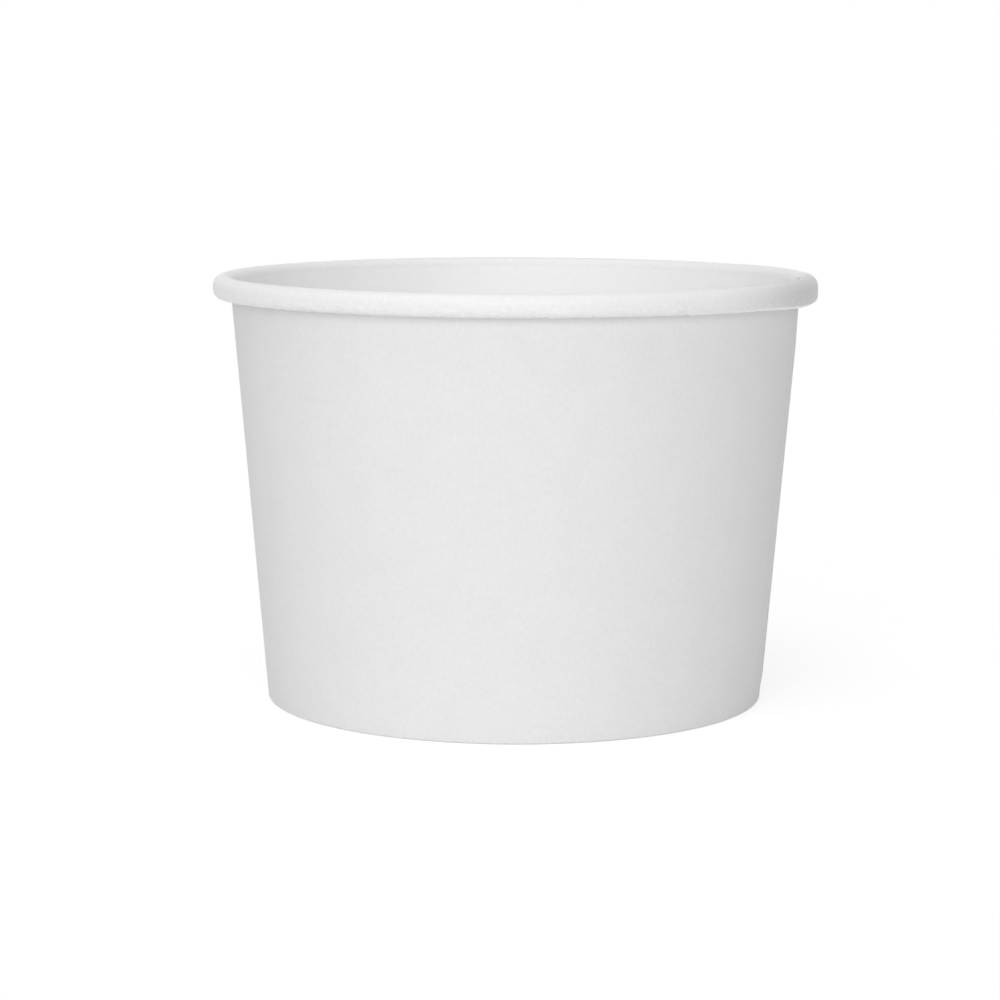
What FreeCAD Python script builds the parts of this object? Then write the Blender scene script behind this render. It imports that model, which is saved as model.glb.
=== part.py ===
"""A paper sundae cup, in millimetres, with its centre line on +Z and its foot on Z = 0.

It is two pieces of coated board. The side wall is one fan-shaped blank. Its ends lap in an
upright seam, its top edge is rolled outwards into the rim, and its lower edge is folded
inwards and up. The bottom is a disc whose edge is drawn down into a skirt. The skirt stands
in the fold at the foot, between the wall and the turned-in edge, and is sealed to both.
"""

import FreeCAD, Part
import math
import os

# Outer sizes of the cup
rim_diameter = 90.0
base_diameter = 74.4
cup_height = 63.5

# Rolled rim: the width and the height of the roll, the radius of its lower outer corner, how
# far its edge turns past the lowest point, and the air left between that edge and the wall
bead_width = 3.0
bead_height = 3.3
bead_corner_radius = 1.1
curl_tuck_angle = 120.0
curl_clearance = 0.10

# Board of the side wall, and the height of its edge folded in at the foot
wall_board = 0.40
turn_in_height = 5.5

# Seam of the side wall: the width of the lap, the height of its step once pressed, the length
# over which the board comes back down beside it, and where its middle lies, from +X towards +Y
seam_lap = 7.0
seam_step = 0.25
seam_ramp = 2.5
seam_direction = 3.0

# Bottom disc: its board, the height of its underside above the foot, and its drawn corner
bottom_board = 0.35
bottom_recess = 6.5
bottom_corner_radius = 0.9

AXIS = FreeCAD.Vector(0, 0, 1)
CENTRE = FreeCAD.Vector(0, 0, 0)

# Every section is drawn in the half-plane of radius and height. The roll is round on top, with
# a short upright side and a smaller corner below it.
bead_radius = bead_width / 2
rim_radius = rim_diameter / 2
base_radius = base_diameter / 2
roll_bottom = cup_height - bead_height
bead_centre = FreeCAD.Vector(rim_radius - bead_radius, 0, cup_height - bead_radius)
corner_centre = FreeCAD.Vector(
    rim_radius - bead_corner_radius, 0, roll_bottom + bead_corner_radius
)

# The wall's outer face runs up from the base circle, and passes the middle of the roll at
# the radius of the roll's inner face, because the roll starts as the wall itself
base_to_bead = bead_centre - FreeCAD.Vector(base_radius, 0, 0)
taper = math.atan2(base_to_bead.x, base_to_bead.z) - math.asin(
    (bead_radius - wall_board) / base_to_bead.Length
)
outward = FreeCAD.Vector(math.cos(taper), 0, -math.sin(taper))
down = FreeCAD.Vector(0, 0, -1)
wall_top = bead_centre - outward * bead_radius


def wall_inside(height):
    """Radius of the wall's inner face at a height above the foot."""
    return wall_top.x - (wall_top.z - height) * math.tan(taper)


# Inner corners of the fold at the foot: the skirt of the bottom disc stands between them
fold_outer = FreeCAD.Vector(wall_inside(wall_board), 0, wall_board)
fold_inner = fold_outer - FreeCAD.Vector(bottom_board / math.cos(taper), 0, 0)
turn_in_top = FreeCAD.Vector(
    fold_inner.x + (turn_in_height - wall_board) * math.tan(taper), 0, turn_in_height
)

# Past its lowest point, the roll's free edge turns on the radius that tucks it in beside the wall
lowest_point = corner_centre + down * bead_corner_radius
lowest_depth = (lowest_point - wall_top).dot(outward)
tuck_radius = (lowest_depth - wall_board - curl_clearance) / (1 + math.sin(taper))
tuck_centre = lowest_point - down * tuck_radius

# Angles of the seam round the cup, at the wall's middle radius
seam_radius = wall_inside(cup_height / 2)
lap_angle = math.degrees(seam_lap / seam_radius)
ramp_angle = math.degrees(seam_ramp / seam_radius)
outer_edge_angle = seam_direction - lap_angle / 2
inner_edge_angle = seam_direction + lap_angle / 2


def on_circle(centre, radius, angle):
    """Point of a circle in the section plane, at an angle in degrees from +radius to +height."""
    turn = math.radians(angle)
    return centre + FreeCAD.Vector(math.cos(turn), 0, math.sin(turn)) * radius


def arc(centre, radius, start, end):
    """Arc of a section between two angles in degrees."""
    return Part.Arc(
        on_circle(centre, radius, start),
        on_circle(centre, radius, (start + end) / 2),
        on_circle(centre, radius, end),
    ).toShape()


def line(start, end):
    return Part.makeLine(start, end)


def section(edges):
    """Closed wire of a section from its edges in order."""
    return Part.Wire(edges)


def revolved(wire, start, sweep):
    """Solid made by turning a section about the cup's centre line."""
    face = Part.Face(wire)
    face.rotate(CENTRE, AXIS, start)
    return face.revolve(CENTRE, AXIS, sweep)


def wall_section(depth, bottom):
    """Section of the wall and its rolled rim. The layer starts at a depth behind the inner
    face and is one board thick, and bottom is the point of the inner face where it starts."""
    start = 180 - math.degrees(taper)
    side = 0
    lowest = -90
    end = lowest - curl_tuck_angle
    near, far = depth, depth + wall_board
    edges = [
        line(bottom + outward * near, wall_top + outward * near),
        arc(bead_centre, bead_radius - near, start, side),
        line(
            on_circle(bead_centre, bead_radius - near, side),
            on_circle(corner_centre, bead_corner_radius - near, side),
        ),
        arc(corner_centre, bead_corner_radius - near, side, lowest),
        arc(tuck_centre, tuck_radius - near, lowest, end),
        line(
            on_circle(tuck_centre, tuck_radius - near, end),
            on_circle(tuck_centre, tuck_radius - far, end),
        ),
        arc(tuck_centre, tuck_radius - far, end, lowest),
        arc(corner_centre, bead_corner_radius - far, lowest, side),
        line(
            on_circle(corner_centre, bead_corner_radius - far, side),
            on_circle(bead_centre, bead_radius - far, side),
        ),
        arc(bead_centre, bead_radius - far, side, start),
        line(wall_top + outward * far, bottom + outward * far),
        line(bottom + outward * far, bottom + outward * near),
    ]
    return section(edges)


def foot_section():
    """Section of the fold at the foot and of the edge turned in and up from it."""
    lean = math.degrees(taper)
    edges = [
        line(turn_in_top, fold_inner),
        line(fold_inner, fold_outer),
        line(fold_outer, fold_outer + outward * wall_board),
        arc(fold_outer, wall_board, -lean, -90),
        line(fold_outer + down * wall_board, fold_inner + down * wall_board),
        arc(fold_inner, wall_board, -90, -180 - lean),
        line(fold_inner - outward * wall_board, turn_in_top - outward * wall_board),
        line(turn_in_top - outward * wall_board, turn_in_top),
    ]
    return section(edges)


def lap_section():
    """Section of the upper layer of the seam, on the wall from the fold up to the rim."""
    lap_top = FreeCAD.Vector(wall_inside(roll_bottom), 0, roll_bottom)
    edges = [
        line(fold_outer + outward * wall_board, lap_top + outward * wall_board),
        line(lap_top + outward * wall_board, lap_top + outward * (wall_board + seam_step)),
        line(
            lap_top + outward * (wall_board + seam_step),
            fold_outer + outward * (wall_board + seam_step),
        ),
        line(fold_outer + outward * (wall_board + seam_step), fold_outer + outward * wall_board),
    ]
    return section(edges)


def seam_ramp_solid():
    """The stretch beside the seam where the board comes down off the layer under it. It
    starts half a board lower than the wall, so that it joins the fold through its thickness."""
    wall_direction = (wall_top - fold_outer).normalize()
    bottom = fold_outer - wall_direction * (wall_board / 2)
    raised = wall_section(seam_step, bottom)
    raised.rotate(CENTRE, AXIS, inner_edge_angle)
    level = wall_section(0, bottom)
    level.rotate(CENTRE, AXIS, inner_edge_angle + ramp_angle)
    return Part.makeLoft([raised, level], True, True)


def make_side_wall():
    """The side wall: one blank with its seam, rolled rim and turned-in foot."""
    wall = revolved(
        wall_section(0, fold_outer), inner_edge_angle + ramp_angle, 360 - ramp_angle
    )
    foot = revolved(foot_section(), 0, 360)
    lap = revolved(lap_section(), outer_edge_angle, lap_angle)
    return wall.fuse([foot, lap, seam_ramp_solid()]).removeSplitter()


def make_bottom_disc():
    """The bottom: a flat disc with its edge drawn down into a skirt that fills the fold."""
    top = bottom_recess + bottom_board
    corner_height = top - bottom_corner_radius
    corner = FreeCAD.Vector(
        wall_inside(corner_height) - bottom_corner_radius / math.cos(taper), 0, corner_height
    )
    lean = math.degrees(taper)
    inner_corner_radius = bottom_corner_radius - bottom_board
    edges = [
        line(FreeCAD.Vector(0, 0, top), on_circle(corner, bottom_corner_radius, 90)),
        arc(corner, bottom_corner_radius, 90, -lean),
        line(on_circle(corner, bottom_corner_radius, -lean), fold_outer),
        line(fold_outer, fold_inner),
        line(fold_inner, on_circle(corner, inner_corner_radius, -lean)),
        arc(corner, inner_corner_radius, -lean, 90),
        line(on_circle(corner, inner_corner_radius, 90), FreeCAD.Vector(0, 0, bottom_recess)),
        line(FreeCAD.Vector(0, 0, bottom_recess), FreeCAD.Vector(0, 0, top)),
    ]
    return revolved(section(edges), 0, 360)


pieces = {
    "side_wall": make_side_wall(),
    "bottom_disc": make_bottom_disc(),
}

os.makedirs("parts", exist_ok=True)
for name, shape in pieces.items():
    shape.exportStep(f"parts/{name}.step")
    print(name, "solids", len(shape.Solids), "valid", shape.isValid(), "mm3", round(shape.Volume, 1))
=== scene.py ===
# %% [markdown]
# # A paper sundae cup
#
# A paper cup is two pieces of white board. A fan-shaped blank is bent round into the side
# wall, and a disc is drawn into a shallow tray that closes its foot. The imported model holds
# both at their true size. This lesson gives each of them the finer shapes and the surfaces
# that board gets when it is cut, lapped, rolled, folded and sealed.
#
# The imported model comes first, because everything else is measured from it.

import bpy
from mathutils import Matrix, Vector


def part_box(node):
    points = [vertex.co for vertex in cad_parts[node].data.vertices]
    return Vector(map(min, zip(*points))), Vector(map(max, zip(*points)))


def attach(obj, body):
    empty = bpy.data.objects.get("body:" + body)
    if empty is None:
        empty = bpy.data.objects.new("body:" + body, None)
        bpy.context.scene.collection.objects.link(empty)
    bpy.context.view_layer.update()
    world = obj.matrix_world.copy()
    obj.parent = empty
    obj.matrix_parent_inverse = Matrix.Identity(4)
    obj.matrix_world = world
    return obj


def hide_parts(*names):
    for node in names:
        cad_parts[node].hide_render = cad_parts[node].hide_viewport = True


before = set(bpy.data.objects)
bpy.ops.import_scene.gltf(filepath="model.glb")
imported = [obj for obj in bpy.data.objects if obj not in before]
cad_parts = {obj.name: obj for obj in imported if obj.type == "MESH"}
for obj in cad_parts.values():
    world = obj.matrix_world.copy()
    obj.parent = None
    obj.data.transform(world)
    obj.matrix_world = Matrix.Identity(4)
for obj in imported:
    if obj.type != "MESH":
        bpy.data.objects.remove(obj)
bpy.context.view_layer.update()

# %% [markdown]
# ## The sizes of the cup
#
# The rim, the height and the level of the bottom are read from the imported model's boxes. A
# box says nothing of a taper, a board or a roll, so these are named here. They could be
# guessed by eye on the mesh, but a named size is easier to check and to change.

# %% Sizes, in metres and degrees
import math

import bmesh
import bpy
from mathutils import Matrix, Vector, noise

mm = 0.001
full_turn = 360
wall_low, wall_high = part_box("side_wall")
rim_radius = -wall_low.y
cup_height = wall_high.z
disc_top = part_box("bottom_disc")[1].z

base_radius = 37.2 * mm
wall_board = 0.40 * mm
bottom_board = 0.35 * mm
bead_radius = 1.5 * mm
bead_height = 3.3 * mm
bead_corner = 1.1 * mm
tuck_angle = 120
tuck_clearance = 0.10 * mm
turn_in_height = 5.5 * mm
print("rim", round(2 * rim_radius / mm, 2), "mm, height", round(cup_height / mm, 2), "mm")

# %% [markdown]
# ## The camera
#
# The photograph looks a little down on the cup from about half a metre away. A camera's own
# rotation can be typed in as three angles, but it is plainer to turn it in steps: look level,
# tip down, swing to the side, and lean. Each step is a rotation matrix, and the product of
# all of them is the camera's place.

# %% Camera
camera_distance = 440.64 * mm
camera_height = 90.77 * mm
look_down = math.radians(7.9315)
look_left = math.radians(0.2865)
lean = math.radians(0.1634)
sensor_in_mm = 36
lens_in_mm = 106.12

camera = bpy.data.objects.new("camera", bpy.data.cameras.new("camera"))
camera.data.sensor_width = sensor_in_mm
camera.data.lens = lens_in_mm
camera.data.clip_start = 10 * mm
camera.matrix_world = (
    Matrix.Translation((0, -camera_distance, camera_height))
    @ Matrix.Rotation(look_left, 4, "Z")
    @ Matrix.Rotation(math.pi / 2 - look_down, 4, "X")
    @ Matrix.Rotation(lean, 4, "Z")
)
bpy.context.scene.collection.objects.link(camera)
bpy.context.scene.camera = camera
bpy.context.scene.view_settings.view_transform = "Standard"
print("camera looks along", [round(-part, 3) for part in camera.matrix_world.col[2].xyz])

# %% [markdown]
# ## A short way to write shaders
#
# A material is a tree of nodes. Written out one by one, the nodes hide what they reckon. The
# first class below wraps the output of a node, so that Python's own signs make the Math
# nodes, and an expression such as 1 - mask reads as what it does. Every other node is made by
# one method of the second class, which takes the node's type, its settings, and then the
# values of its sockets.

# %% Shader helpers
class Signal:
    """The output of a shader node. Plain arithmetic on it adds Math nodes."""

    def __init__(self, tree, socket):
        self.tree = tree
        self.socket = socket

    def math(self, operation, first, second):
        return self.tree.node("Math", {"operation": operation}, {0: first, 1: second})

    def __add__(self, other):
        return self.math("ADD", self, other)

    def __radd__(self, other):
        return self.math("ADD", other, self)

    def __sub__(self, other):
        return self.math("SUBTRACT", self, other)

    def __rsub__(self, other):
        return self.math("SUBTRACT", other, self)

    def __mul__(self, other):
        return self.math("MULTIPLY", self, other)

    def __rmul__(self, other):
        return self.math("MULTIPLY", other, self)


class Tree:
    """The nodes of one material or of the world."""

    def __init__(self, owner):
        owner.use_nodes = True
        self.nodes = owner.node_tree.nodes
        self.links = owner.node_tree.links
        self.nodes.clear()

    def node(self, kind, settings=None, sockets=None, output=0):
        """Adds a node and returns one of its outputs. Its settings come before its sockets."""
        made = self.nodes.new("ShaderNode" + kind)
        for name, value in (settings or {}).items():
            if name == "stops":
                for stop, (place, colour) in zip(made.color_ramp.elements, value):
                    stop.position = place
                    stop.color = colour
            else:
                setattr(made, name, value)
        for name, value in (sockets or {}).items():
            if isinstance(value, Signal):
                self.links.new(value.socket, made.inputs[name])
            else:
                made.inputs[name].default_value = value
        return Signal(self, made.outputs[output]) if made.outputs else None

    def vector_math(self, operation, first, second=None, output=0):
        """Vector Math on one or two vectors."""
        sockets = {0: first} if second is None else {0: first, 1: second}
        return self.node("VectorMath", {"operation": operation}, sockets, output)

    def smooth_rise(self, value, low, high):
        """0 where the value is under low, 1 where it is over high, and smooth between."""
        settings = {"interpolation_type": "SMOOTHSTEP"}
        return self.node("MapRange", settings, {"Value": value, "From Min": low, "From Max": high})

    def ground_in_view(self):
        """1 on a ray that shows the ground itself, straight or in a reflection, and else 0."""
        straight = self.node("LightPath", output="Is Camera Ray")
        mirrored = self.node("LightPath", output="Is Glossy Ray")
        through = self.node("LightPath", output="Is Transmission Ray")
        settings = {"operation": "ADD", "use_clamp": True}
        return self.node("Math", settings, {0: straight + mirrored, 1: through})


def grey(level):
    return (level, level, level, 1)


# %% [markdown]
# ## A white ground
#
# The ground of the photograph is pure white. It could be made white with more light, but that
# would bleach the cup too. Instead the world asks what kind of ray meets it. A ray of the
# camera sees it white, and a ray that gathers light for the cup finds it as pale as it is.

# %% World
world_light = 0.37

world = bpy.data.worlds.new("daylight")
bpy.context.scene.world = world
sky = Tree(world)
strength = world_light + (1 - world_light) * sky.ground_in_view()
daylight = sky.node("Background", None, {"Color": grey(1), "Strength": strength})
sky.node("OutputWorld", None, {"Surface": daylight})
print("the world lights at", world_light)

# %% [markdown]
# ## Soft boxes
#
# The photograph has soft light, mostly from the front, with hardly any shadow under the rim.
# So the main lamp is a broad soft box that stands low in front. A second one from the left
# makes the right side a little darker, and one overhead reaches into the cup. A sun or a spot
# would draw hard edges, which an area lamp of about a metre doesn't.

# %% Lamps
lamp_aim = Vector((0, 0, cup_height / 2))
soft_boxes = {
    "front": {"place": (0, -1.15, 0.42), "size": (1.1, 0.6), "energy": 5.2},
    "left": {"place": (-0.72, -0.72, 0.65), "size": (1.1, 1.1), "energy": 1.6},
    "overhead": {"place": (-0.1, -0.1, 1.23), "size": (1.1, 1.1), "energy": 4.3},
}
for name, box in soft_boxes.items():
    lamp = bpy.data.objects.new(name, bpy.data.lights.new(name, "AREA"))
    lamp.data.shape = "RECTANGLE"
    lamp.data.size, lamp.data.size_y = box["size"]
    lamp.data.energy = box["energy"]
    away = Vector(box["place"]) - lamp_aim
    turn = away.to_track_quat("Z", "Y").to_matrix().to_4x4()
    lamp.matrix_world = Matrix.Translation(box["place"]) @ turn
    bpy.context.scene.collection.objects.link(lamp)
    print(name, "lamp", round(away.length, 2), "m away,", box["energy"], "W")

# %% [markdown]
# ## The floor
#
# The floor is a wide disc just under the foot. It must look white and still take the cup's
# soft shadow. Close to the cup, the camera sees a pale floor that also glows a little, so
# that it reaches white where nothing shades it. Further out it turns wholly into a white glow,
# and meets the world without a line. Rays that gather light meet a plain pale floor.

# %% Floor
floor_radius = 3.0
floor_sides = 96
floor_gap = 0.02 * mm
shadow_reach = (0.07, 0.16)
floor_colour = 0.92
seen_colour = 0.50
seen_glow = 0.66


def make_object(name, mesh):
    """Turns a bmesh into an object of the scene, and shows its size."""
    data = bpy.data.meshes.new(name)
    mesh.to_mesh(data)
    mesh.free()
    made = bpy.data.objects.new(name, data)
    bpy.context.scene.collection.objects.link(made)
    print(name, len(data.vertices), "points,", len(data.polygons), "faces")
    return made


disc = bmesh.new()
bmesh.ops.create_circle(disc, cap_ends=True, radius=floor_radius, segments=floor_sides)
bmesh.ops.translate(disc, verts=disc.verts, vec=(0, 0, -floor_gap))
floor = make_object("floor", disc)

floor_paint = bpy.data.materials.new("white floor")
tree = Tree(floor_paint)
distance = tree.vector_math("LENGTH", tree.node("TexCoord", output="Object"), output="Value")
far_off = tree.smooth_rise(distance, *shadow_reach)
plain = tree.node("BsdfDiffuse", None, {"Color": grey(floor_colour)})
shaded = tree.node("BsdfDiffuse", None, {"Color": grey(seen_colour)})
glow = tree.node("Emission", None, {"Color": grey(seen_glow)})
white = tree.node("Emission", None, {"Color": grey(1)})
close_up = tree.node("AddShader", None, {0: shaded, 1: glow})
seen = tree.node("MixShader", None, {0: far_off, 1: close_up, 2: white})
surface = tree.node("MixShader", None, {0: tree.ground_in_view(), 1: plain, 2: seen})
tree.node("OutputMaterial", None, {"Surface": surface})
floor.data.materials.append(floor_paint)

# %% [markdown]
# ## The section of the side wall
#
# Cut open, the side wall is one strip of board. It starts inside the foot, where its lower
# edge is turned in. It goes down, under the skirt of the bottom disc, and up again as the
# wall. At the top it rolls outwards into the rim and tucks its edge in beside the wall.
#
# First come the places that the strip is drawn from: the middles of its round stretches and
# the corners of its fold. They are worked out from the sizes, so that they move with them.

# %% Section measures
roll_bottom = cup_height - bead_height
bead_centre = Vector((rim_radius - bead_radius, 0, cup_height - bead_radius))
roll_corner = Vector((rim_radius - bead_corner, 0, roll_bottom + bead_corner))
base_to_bead = bead_centre - Vector((base_radius, 0, 0))
taper = math.atan2(base_to_bead.x, base_to_bead.z) - math.asin(
    (bead_radius - wall_board) / base_to_bead.length
)
outward = Vector((math.cos(taper), 0, -math.sin(taper)))
down = Vector((0, 0, -1))
wall_top = bead_centre - outward * bead_radius


def wall_point(height):
    """Point of the wall's inner face at a height."""
    return Vector((wall_top.x - (wall_top.z - height) * math.tan(taper), 0, height))


lowest_point = roll_corner + down * bead_corner
lowest_depth = (lowest_point - wall_top).dot(outward)
tuck_radius = (lowest_depth - wall_board - tuck_clearance) / (1 + math.sin(taper))
tuck_centre = lowest_point - down * tuck_radius
print("the wall leans out by", round(math.degrees(taper), 2), "degrees")

# %% [markdown]
# ## The fold at the foot
#
# The board is folded sharply round the skirt of the bottom disc. A fold of no radius at all
# would spoil the board's thickness there, so each of its two inner corners gets a very small
# round, whose middle is placed so that it touches both faces of its corner.

# %% Fold measures
skirt_width = bottom_board / math.cos(taper)
fold_radius = 0.02 * mm
fold_outer = wall_point(wall_board)
fold_inner = fold_outer - Vector((skirt_width, 0, 0))
outer_round = fold_outer + fold_radius * Vector(((math.sin(taper) - 1) / math.cos(taper), 0, 1))
inner_round = fold_inner + fold_radius * Vector(((math.sin(taper) + 1) / math.cos(taper), 0, 1))


def turn_in_point(height):
    """Point of the turned-in edge, on its face towards the skirt, at a height."""
    return wall_point(height) - Vector((skirt_width, 0, 0))


print("the fold is", round(skirt_width / mm, 3), "mm wide inside")

# %% [markdown]
# ## A pen for sections
#
# A section could be typed as a list of points. Here it is drawn as one would with a pen: a
# point is extruded into straight runs, and spun about a centre into arcs. When the line is
# done, the pen notes on every point how much board lies between it and the line's end. The
# creases and the materials use that run later.

# %% Pen
class Pen:
    """Draws an open line of edges in the half-plane of radius and height."""

    def __init__(self, mesh, point):
        self.mesh = mesh
        self.run = mesh.verts.layers.float.new("run")
        self.point = mesh.verts.new(point)

    def line(self, point, parts=1):
        """Straight run to a point, cut into parts."""
        start = self.point.co.copy()
        for part in range(1, parts + 1):
            made = bmesh.ops.extrude_vert_indiv(self.mesh, verts=[self.point])
            self.point = made["verts"][0]
            self.point.co = start.lerp(Vector(point), part / parts)

    def arc(self, centre, degrees, parts):
        """Arc about a centre. A positive turn goes from the radius towards the height."""
        made = bmesh.ops.spin(
            self.mesh,
            geom=[self.point],
            cent=centre,
            axis=(0, -1, 0),
            angle=math.radians(degrees),
            steps=parts,
        )
        points = [item for item in made["geom_last"] if isinstance(item, bmesh.types.BMVert)]
        self.point = points[0]

    def measure(self):
        """Writes on every point how much board lies between it and the line's end."""
        point, before, length = self.point, None, 0
        while point:
            point[self.run] = length
            ahead = [edge.other_vert(point) for edge in point.link_edges]
            ahead = [other for other in ahead if other is not before]
            before, point = point, ahead[0] if ahead else None
            length += (point.co - before.co).length if point else 0
        return length


# %% [markdown]
# ## Draw the wall
#
# Only the face of the board that touches the food is drawn, from the turned-in edge to the
# edge that is tucked in under the roll. The board gets its thickness later. Where the ribs of
# the foot will start and end, the line has extra points for them.

# %% Draw the wall's section
rib_low, rib_high, rib_fade = 1.2 * mm, 5.0 * mm, 0.3 * mm
still_height = 9 * mm
lean_angle = math.degrees(taper)

wall = bmesh.new()
pen = Pen(wall, turn_in_point(turn_in_height))
for height in (rib_high, rib_high - rib_fade, rib_low + rib_fade, rib_low):
    pen.line(turn_in_point(height))
pen.line(inner_round - outward * fold_radius)
pen.arc(inner_round, 90 + lean_angle, parts=4)
pen.line(outer_round + down * fold_radius)
pen.arc(outer_round, 90 - lean_angle, parts=4)
pen.line(wall_point(still_height), parts=3)
pen.line(wall_point(roll_bottom), parts=7)
pen.line(wall_top, parts=3)
before_roll = sum(edge.calc_length() for edge in wall.edges)
pen.arc(bead_centre, lean_angle - 180, parts=18)
pen.line(roll_corner + Vector((bead_corner, 0, 0)), parts=2)
pen.arc(roll_corner, -90, parts=10)
pen.arc(tuck_centre, -tuck_angle, parts=8)
board_length = pen.measure()
roll_run = board_length - before_roll
print("the blank is", round(board_length / mm, 1), "mm from edge to edge,", len(wall.verts), "points")

# %% [markdown]
# ## Round the cup in stretches
#
# The section is spun about the middle of the cup. One even spin would do for a moulded cup,
# but this wall has an upright seam near +X, where the two ends of the blank lap. So the spin
# goes in stretches: the plain wall, the lap, and the short slope where the board comes down
# off the layer under it. A stretch as thin as a hair stands at each of the two cut edges, and
# becomes the step there.

# %% Spin the wall
seam_lap = 7.0 * mm
seam_step = 0.25 * mm
seam_slope = 2.5 * mm
seam_direction = 3.0
seam_radius = wall_point(cup_height / 2).x
lap_sweep = math.degrees(seam_lap / seam_radius)
slope_sweep = math.degrees(seam_slope / seam_radius)
outer_edge = seam_direction - lap_sweep / 2
inner_edge = seam_direction + lap_sweep / 2
hair = 0.02
merge_distance = 0.002 * mm


def spin_round(mesh, start, stretches):
    """Spins a section about the cup's middle, through stretches of degrees and steps."""
    turn = Matrix.Rotation(math.radians(start), 3, "Z")
    bmesh.ops.rotate(mesh, verts=mesh.verts, cent=(0, 0, 0), matrix=turn)
    part = mesh.verts[:] + mesh.edges[:]
    for sweep, steps in stretches:
        made = bmesh.ops.spin(
            mesh, geom=part, cent=(0, 0, 0), axis=(0, 0, 1), angle=math.radians(sweep), steps=steps
        )
        part = made["geom_last"]
    bmesh.ops.remove_doubles(mesh, verts=mesh.verts, dist=merge_distance)
    bmesh.ops.recalc_face_normals(mesh, faces=mesh.faces)


stretches = [
    (full_turn - lap_sweep - slope_sweep, 700),
    (hair, 1),
    (lap_sweep - hair, 18),
    (hair, 1),
    (slope_sweep - hair, 7),
]
spin_round(wall, inner_edge + slope_sweep, stretches)
print("spun", len(wall.faces), "faces, and the seam takes", round(lap_sweep + slope_sweep, 1), "degrees")

# %% [markdown]
# ## Waves and creases
#
# Board is never quite true. The wall waves by a few hundredths of a millimetre. The roll has
# fine streaks and lumps all round, and patches of creases in its lower half, where the board
# is crushed.
#
# A modifier with a texture could move the points, but a sum of noise functions in Python says
# exactly where each kind of mark lies, and gives the same cup each time. Each kind has its
# depth, its length along the roll, its width across it, and its own layer of the noise.

# %% Waves and creases
wave_depth = 0.05 * mm
wave_length = 24 * mm
streaks = (0.010 * mm, 2.0 * mm, 0.6 * mm, 0)
lumps = (0.020 * mm, 1.3 * mm, 1.2 * mm, 5)
creases = (0.26 * mm, 1.3 * mm, 1.6 * mm, 17)
crease_starts = (0.1 * mm, 1.2 * mm)
patches = (1, 9 * mm, mm, 11)
patch_edge = (-0.2, 0.35)


def smooth_rise(value, low, high):
    """0 under low, 1 over high, and smooth between."""
    share = min(max((value - low) / (high - low), 0), 1)
    return share * share * (3 - 2 * share)


def past(point, direction):
    """Degrees from a direction, such as that of a cut edge, round to a point."""
    return (math.degrees(math.atan2(point.y, point.x)) - direction - hair / 2) % full_turn


def mark_at(kind, along, run):
    """Height of one kind of mark at a place on the blank."""
    depth, length, width, layer = kind
    return depth * noise.noise(Vector((along / length, run / width, layer)))


def unevenness(point, run):
    """How far the board stands in from its true place, at a point and a run from the edge."""
    wave = wave_depth * noise.noise(point / wave_length)
    wave *= smooth_rise(point.z, still_height, 2 * still_height)
    if run > roll_run:
        return wave
    along = math.radians(past(point, inner_edge)) * rim_radius
    patch = smooth_rise(mark_at(patches, along, 0), *patch_edge)
    underneath = smooth_rise(bead_centre.z - point.z, *crease_starts)
    crushed = mark_at(creases, along, run) * patch * underneath
    return wave + mark_at(streaks, along, run) + mark_at(lumps, along, run) + crushed


print("the roll takes", round(roll_run / mm, 2), "mm of the board")

# %% [markdown]
# ## The roll by the seam
#
# By the seam two layers are rolled up together, so the roll swells a little at its top there
# and hangs lower. Ahead of the seam, its lower edge is pinched into a thin lip. All of this
# fades away over some tens of degrees.
#
# The points could be pushed out along the normals, but that would draw a ledge in the roll's
# outline. They move straight up and down instead, before the board has its thickness, so that
# both of its faces follow.

# %% Shape the roll
fat_depth = 0.52 * mm
fat_reach = (18, 44)
fat_starts = (-0.3 * mm, bead_height / 2)
tuck_reach = 0.8 * mm
swell_height = 0.17 * mm
lip_depth = 0.13 * mm
lip_start = (20, 30)
lip_end = (52, 66)
lip_run = math.radians(tuck_angle) * tuck_radius + 0.15 * mm
lip_width = (0.05 * mm, 0.40 * mm)


def sag(point, run):
    """How much lower than its true place the roll hangs at a point."""
    if run > roll_run:
        return 0
    after = past(point, seam_direction)
    before = full_turn - after
    near = 1 - smooth_rise(min(after, before), *fat_reach)
    outside = smooth_rise(point.xy.length, tuck_centre.x - tuck_reach, tuck_centre.x)
    fat = near * smooth_rise(bead_centre.z - point.z, *fat_starts) * outside
    swell = near * smooth_rise(point.z - bead_centre.z, 0, bead_radius)
    lip = smooth_rise(before, *lip_start) * (1 - smooth_rise(before, *lip_end))
    lip *= 1 - smooth_rise(abs(run - lip_run), *lip_width)
    return fat_depth * fat + lip_depth * lip - swell_height * swell


wall.normal_update()
run_layer = pen.run
shifts = []
for vertex in wall.verts:
    run = vertex[run_layer]
    shift = down * sag(vertex.co, run) - vertex.normal * unevenness(vertex.co, run)
    shifts.append((vertex, shift))
for vertex, shift in shifts:
    vertex.co += shift
print("moved by up to", round(max(shift.length for vertex, shift in shifts) / mm, 3), "mm")

# %% [markdown]
# ## The thickness of the board
#
# Solidify gives the sheet its other face, one board behind the first. It could stay a
# modifier, but the seam and the ribs are pressed into one face only, so the points of both
# faces are needed now. Each point first gets a note of the way through the board, and the
# new points take the note over.

# %% Thickness
wall.normal_update()
through = wall.verts.layers.float_vector.new("through")
for vertex in wall.verts:
    vertex[through] = -vertex.normal


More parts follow.
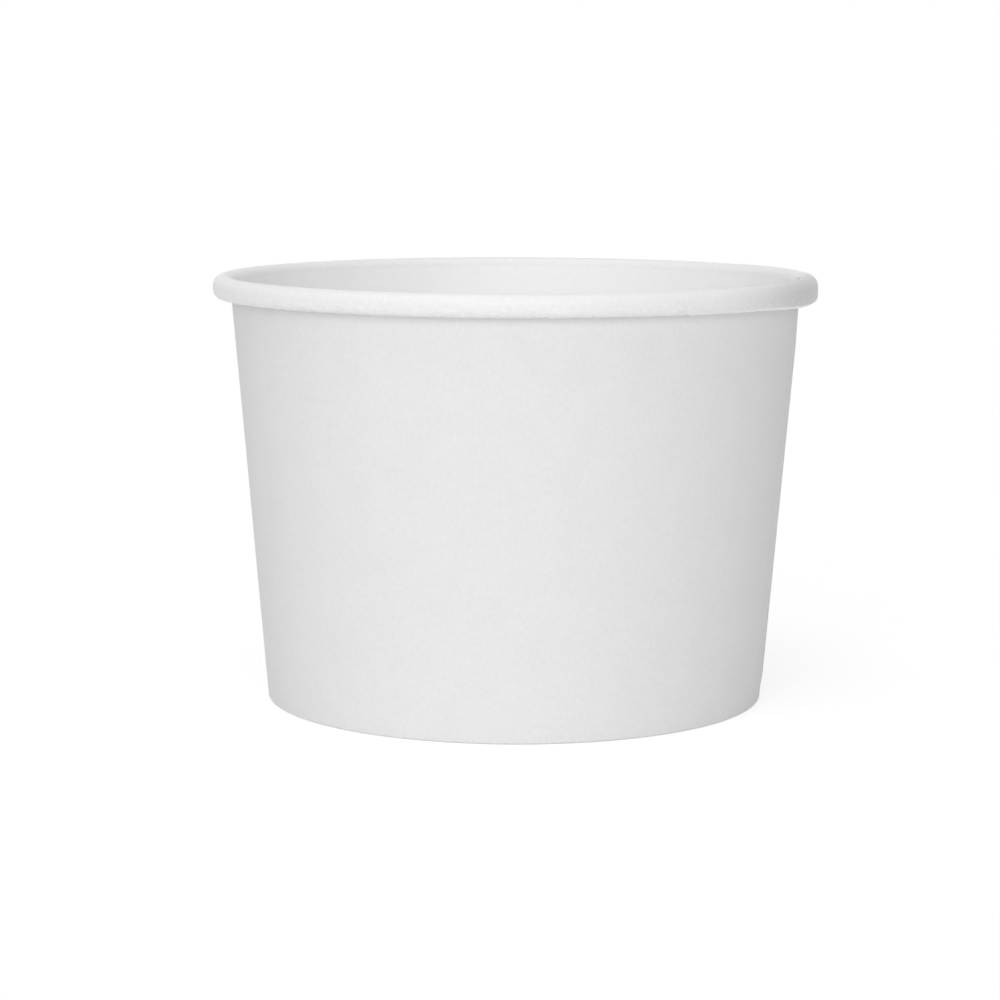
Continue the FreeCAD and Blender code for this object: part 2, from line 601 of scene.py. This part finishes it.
def thicken(mesh, board):
    """Gives a sheet its thickness. Returns its old faces, its new points and its new faces."""
    old_faces = set(mesh.faces)
    made = bmesh.ops.solidify(mesh, geom=mesh.faces[:], thickness=board)["geom"]
    new_points = {item for item in made if isinstance(item, bmesh.types.BMVert)}
    new_faces = {item for item in made if isinstance(item, bmesh.types.BMFace)}
    return old_faces, new_points, new_faces


food_faces, outer_points, outer_faces = thicken(wall, wall_board)
print("the wall has", len(wall.verts), "points and", len(wall.faces), "faces")

# %% [markdown]
# ## The seam and the ribs of the foot
#
# Under the lap the outer face stands a quarter of a millimetre further out, as the two layers
# are pressed. Beside it, both faces slope back to the plain wall. Inside the foot, the ribbed
# wheel that seals it leaves a ring of small upright grooves in the turned-in edge.

# %% Press the seam and the ribs
seam_fade = 0.3 * mm
rib_count = 125
rib_depth = 0.07 * mm


def seam_rise(point, on_outside):
    """How far a point of the wall or the rim is pushed out by the seam."""
    round_lap = past(point, outer_edge)
    round_slope = past(point, inner_edge)
    if round_slope < slope_sweep:
        rise = 1 - round_slope / slope_sweep
    elif round_lap < lap_sweep and on_outside:
        rise = 1 - smooth_rise(point.z, roll_bottom - seam_fade, roll_bottom)
    else:
        rise = 0
    return seam_step * rise * smooth_rise(point.z, wall_board, 3 * wall_board)


def ripple(angle):
    """A wave that goes from 0 to 1 and back in one turn of the angle."""
    return (1 - math.cos(angle)) / 2


def rib_press(point):
    """How deep the sealing wheel pressed the turned-in edge at a point."""
    rib = ripple(math.radians(past(point, outer_edge)) * rib_count)
    band = smooth_rise(point.z, rib_low, rib_low + rib_fade)
    band *= 1 - smooth_rise(point.z, rib_high - rib_fade, rib_high)
    return rib_depth * rib * band


for vertex in wall.verts:
    on_outside = vertex in outer_points
    if vertex.co.xy.length > wall_point(vertex.co.z).x - skirt_width / 2:
        vertex.co += vertex[through] * seam_rise(vertex.co, on_outside)
    elif on_outside:
        vertex.co -= vertex[through] * rib_press(vertex.co)
print("the seam rises", seam_step / mm, "mm, and the foot has", rib_count, "ribs")

# %% [markdown]
# ## The board's own coordinates
#
# The fibres of board lie in its plane, and they bend and roll with it. A pattern that is only
# read from the place of a point would run straight through the roll and the folds. So each
# point gets its place on the flat blank, in millimetres: how far round, how far from the
# tucked edge, and which face. The faces are sorted too, into the filmed face, the plain face
# and the cut edges.

# %% Place on the blank
FILM, PLAIN, CUT = 0, 1, 2
sharp_angle = 40


def mark_faces(mesh, food_faces, outer_faces):
    """Gives each face the number of its finish."""
    for face in mesh.faces:
        face.material_index = FILM if face in food_faces else PLAIN if face in outer_faces else CUT


def in_step(face, edge):
    """Whether a face lies in the hair's breadth of a cut edge."""
    degrees = past(face.calc_center_median(), edge)
    return min(degrees, full_turn - degrees) < hair / 2


def finish_shape(name, mesh):
    """Makes the object of a piece, smooth apart from its sharp folds and cut edges."""
    made = make_object(name, mesh)
    made.data.shade_smooth()
    made.data.set_sharp_from_angle(angle=math.radians(sharp_angle))
    return made


mark_faces(wall, food_faces, outer_faces)
for face in wall.faces:
    edge = inner_edge if face.material_index == FILM else outer_edge
    if face.material_index != CUT and in_step(face, edge):
        face.material_index = CUT

board = wall.verts.layers.float_vector.new("board")
for vertex in wall.verts:
    on_outside = vertex in outer_points
    edge = outer_edge if on_outside else inner_edge
    along = math.radians(past(vertex.co, edge)) * seam_radius
    vertex[board] = (along / mm, vertex[run_layer] / mm, on_outside)
side_wall = finish_shape("cup_side_wall", wall)

# %% [markdown]
# ## The bottom disc
#
# The bottom is a disc of board whose edge is drawn down into a skirt. The skirt stands in the
# fold of the wall, where the ribs seal it. It is drawn and spun as the wall was, with a hair
# of air between the two.

# %% Draw and spin the bottom
corner_radius = 0.9 * mm
skirt_air = 0.01 * mm
pleat_reach = 2.5 * mm
pleat_count = 96
steps_in_pleat = 5

corner_height = disc_top - corner_radius
corner = wall_point(corner_height) - Vector((corner_radius / math.cos(taper) + skirt_air, 0, 0))
flat_radius = corner.x

bottom = bmesh.new()
pen = Pen(bottom, fold_outer - Vector((skirt_air, 0, 0)))
pen.line(corner + outward * corner_radius, parts=5)
pen.arc(corner, 90 + lean_angle, parts=8)
pen.line((flat_radius - pleat_reach, 0, disc_top), parts=5)
pen.line((0, 0, disc_top), parts=12)
pen.measure()
spin_round(bottom, 0, [(full_turn, steps_in_pleat * pleat_count)])
print("the bottom is flat to", round(flat_radius / mm, 2), "mm from its middle")

# %% [markdown]
# ## Pleats and bulge
#
# A flat disc has more edge than its skirt has room for, so the corner takes up the rest in
# small pleats. No two of them are alike: they drift a little to the side and differ in depth.
# The middle bulges by a tenth of a millimetre, as it does when the film on it shrinks. The
# noise is read on a circle, so that it closes after a full turn.

# %% Press the bottom
pleat_depth = 0.035 * mm
pleat_drift = 2
drift_radius, drift_layer = 3, 2
least_pleat, pleat_spread = 0.6, 0.8
spread_radius, spread_layer = 9, 4
bulge = 0.12 * mm
dish_depth = 0.03 * mm
dish_length = 11 * mm


def noise_round(turn, radius, layer):
    """Noise on a circle of a radius, at an angle."""
    return noise.noise(Vector((radius * math.cos(turn), radius * math.sin(turn), layer)))


def draw_depth(point):
    """How far the upper face sinks at a point: its pleats and waves, less its bulge."""
    radius = point.xy.length
    turn = math.atan2(point.y, point.x)
    in_pleats = smooth_rise(radius, flat_radius - pleat_reach, flat_radius)
    shape = ripple(turn * pleat_count + pleat_drift * noise_round(turn, drift_radius, drift_layer))
    band = in_pleats * smooth_rise(point.z, turn_in_height, corner_height)
    size = least_pleat + pleat_spread * noise_round(turn, spread_radius, spread_layer)
    middle = 1 - smooth_rise(radius, 0, flat_radius - pleat_reach)
    wave = dish_depth * noise.noise(point / dish_length) * (1 - in_pleats)
    return pleat_depth * shape * band * size - bulge * middle + wave


bottom.normal_update()
shifts = [(vertex, vertex.normal * -draw_depth(vertex.co)) for vertex in bottom.verts]
for vertex, shift in shifts:
    vertex.co += shift
food_faces, outer_points, outer_faces = thicken(bottom, bottom_board - skirt_air)
mark_faces(bottom, food_faces, outer_faces)
board = bottom.verts.layers.float_vector.new("board")
for vertex in bottom.verts:
    direction = vertex.co.xy.normalized() if vertex.co.xy.length > mm else vertex.co.xy
    flat = direction * vertex[pen.run] / mm
    vertex[board] = (flat.x, flat.y, vertex in outer_points)
bottom_disc = finish_shape("cup_bottom", bottom)

# %% [markdown]
# ## Marks and painted shade on the roll
#
# The roll is painted a little darker than the flat film inside it, and darker still ahead of
# the seam, apart from its lip: this is painted shade, with a painted highlight on the lip.
# Small creases cover it, most of them low down, and one small nick shows by the seam.
#
# Such marks could be painted on a picture, but here they are masks on the blank's own
# coordinates, in millimetres. Each mask is a soft step, and their products say where a mark
# lies. They give two things: a height for the relief, and a share by which the white dims,
# which is painted shade, with a little painted light on the creases' ridges.

# %% Marks and painted shade on the roll
top_run = roll_run / mm
low_run = (math.radians(tuck_angle) * tuck_radius + bead_corner) / mm
roll_edge = (top_run - 0.4, top_run + 0.4)
low_edge = (low_run, low_run + 1.5)
# Painted shade: the roll is painted darker than the flat film by these shares, and darker still ahead of
# the seam.
roll_painted_shade = 0.06
seam_painted_shade = 0.24
seam_painted_shade_begins = (206, 228)
seam_painted_shade_ends = (236, 246)
# Painted highlight: along this stretch ahead of the seam, the roll's painted shade fades out at its lip,
# so the lip is painted lighter.
lip_painted_light_begins = (190, 205)
lip_painted_light_ends = (228, 236)
lip_painted_light_fades = (3.5, 4.0)
nick_place = (241.5, 9.35, 0)
nick_size = (2.4, 0.32, 1)
nick_edge = (0.5, 1.3)
# Painted shade: the nick's dent is painted darker by this share, besides its relief.
nick_painted_shade = 0.25
noise_detail = 2.0
crease_cells = (1.5, 3.4, 5)
# Painted shade and light: the creases' pits are painted darker and their ridges lighter by this share.
crease_painted_shade = 0.2
crease_on_top = 0.3
mark_relief = 7.0
noise_middle = 0.5


def grain(tree, place, cells):
    """Noise on the blank, with so many cells in a millimetre along, across and between faces."""
    place = tree.vector_math("MULTIPLY", place, cells)
    return tree.node("TexNoise", None, {"Vector": place, "Scale": 1.0, "Detail": noise_detail})


def roll_relief_and_painted_shade(tree, place):
    """Height of the marks on the roll, and the roll's painted shade and light."""
    along = tree.node("SeparateXYZ", None, {0: place}, "X")
    run = tree.node("SeparateXYZ", None, {0: place}, "Y")
    on_roll = 1 - tree.smooth_rise(run, *roll_edge)
    low_down = 1 - tree.smooth_rise(run, *low_edge)
    crease = (crease_on_top * on_roll + low_down) * (grain(tree, place, crease_cells) - noise_middle)
    from_nick = tree.vector_math("SUBTRACT", place, nick_place)
    from_nick = tree.vector_math("DIVIDE", from_nick, nick_size)
    from_nick = tree.vector_math("LENGTH", from_nick, output="Value")
    nick = 1 - tree.smooth_rise(from_nick, *nick_edge)
    by_seam = tree.smooth_rise(along, *seam_painted_shade_begins) * (
        1 - tree.smooth_rise(along, *seam_painted_shade_ends)
    )
    by_painted_lip_light = tree.smooth_rise(along, *lip_painted_light_begins) * (1 - tree.smooth_rise(along, *lip_painted_light_ends))
    painted_shade_off_lip = 1 - by_painted_lip_light * (1 - tree.smooth_rise(run, *lip_painted_light_fades))
    # Painted shade: darker on the roll and ahead of the seam, lighter at the lip, darker in the nick and
    # the creases' pits, lighter on their ridges.
    shade = on_roll * painted_shade_off_lip * (roll_painted_shade + seam_painted_shade * by_seam)
    shade = shade + nick_painted_shade * nick - crease_painted_shade * crease
    return mark_relief * (crease - nick), shade


print("the roll ends", round(top_run, 1), "mm from the tucked edge")

# %% [markdown]
# ## White board
#
# The board is bleached white all through. Seen close, it isn't one white: the fibres lie
# thicker in some spots than in others, and the surface follows them. Both come from the same
# noise, read on the blank's own coordinates and drawn out along the grain. It shifts the
# colour by a few percent, and a Bump node turns it into a relief of a few thousandths of a
# millimetre.
#
# The two faces and the cut edge share all of that. The face with the film is smoother and has
# a thin clear coat, and the cut edge is rougher, because there the fibres end. Only the wall
# is rolled, so only its film takes the marks of the roll and their painted shade.

# %% Board materials
cloud_cells, cloud_share = (0.22, 0.16, 7), 0.25
mottle_cells, mottle_share = (2.2, 1.2, 13), 0.55
fibre_cells, fibre_share = (9.0, 1.8, 31), 0.2
fibre_relief = 0.7
relief_depth = 0.02 * mm
rough_spread = 0.2
film_roughness = 0.35
board_gloss = 0.4
thin_spots, thick_spots = 0.36, 0.64


def board_material(name, whites, roughness, relief, coat=0.0, marks=None):
    """White board between two whites. The marks, if any, add their height and their painted shade."""
    made = bpy.data.materials.new(name)
    tree = Tree(made)
    place = tree.node("Attribute", {"attribute_name": "board"}, output="Vector")
    clouds = grain(tree, place, cloud_cells)
    mottle = grain(tree, place, mottle_cells)
    fibres = grain(tree, place, fibre_cells)
    level = cloud_share * clouds + mottle_share * mottle + fibre_share * fibres
    height = mottle + fibre_relief * fibres
    stops = [(thin_spots, whites[0]), (thick_spots, whites[1])]
    paint = tree.node("ValToRGB", {"stops": stops}, {"Fac": level})
    if marks:
        # The marks add their relief, and their painted shade dims the paint.
        mark_height, shade = marks(tree, place)
        height = height + mark_height
        paint = tree.node("VectorMath", {"operation": "SCALE"}, {0: paint, "Scale": 1 - shade})
    sockets = {
        "Base Color": paint,
        "Roughness": roughness + rough_spread * (mottle - noise_middle),
        "Coat Weight": coat,
        "Coat Roughness": film_roughness,
        "Specular IOR Level": board_gloss,
        "Normal": tree.node(
            "Bump", None, {"Strength": relief, "Distance": relief_depth, "Height": height}
        ),
    }
    surface = tree.node("BsdfPrincipled", None, sockets)
    tree.node("OutputMaterial", None, {"Surface": surface})
    return made


film_whites = ((0.945, 0.945, 0.942, 1), (0.99, 0.99, 0.987, 1))
plain_whites = ((0.835, 0.835, 0.832, 1), (0.88, 0.88, 0.877, 1))
cut_whites = ((0.72, 0.72, 0.71, 1), (0.82, 0.82, 0.81, 1))
filmed_wall = board_material("filmed wall board", film_whites, 0.45, 0.35, 0.15, roll_relief_and_painted_shade)
filmed_disc = board_material("filmed disc board", film_whites, 0.45, 0.35, 0.15)
plain_board = board_material("plain board", plain_whites, 0.75, 0.5)
cut_board = board_material("cut board", cut_whites, 0.9, 0.8)
for piece, filmed_board in ((side_wall, filmed_wall), (bottom_disc, filmed_disc)):
    for material in (filmed_board, plain_board, cut_board):
        piece.data.materials.append(material)
    print(piece.name, [material.name for material in piece.data.materials])

# %% [markdown]
# ## Put the pieces on the frame
#
# Each piece stands for its own node of the imported model and moves with its body.

# %% Pieces on the frame
for piece, node, slot in (
    (side_wall, "side_wall", "wall_board"),
    (bottom_disc, "bottom_disc", "bottom_board"),
):
    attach(piece, "root")
    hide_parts(node)
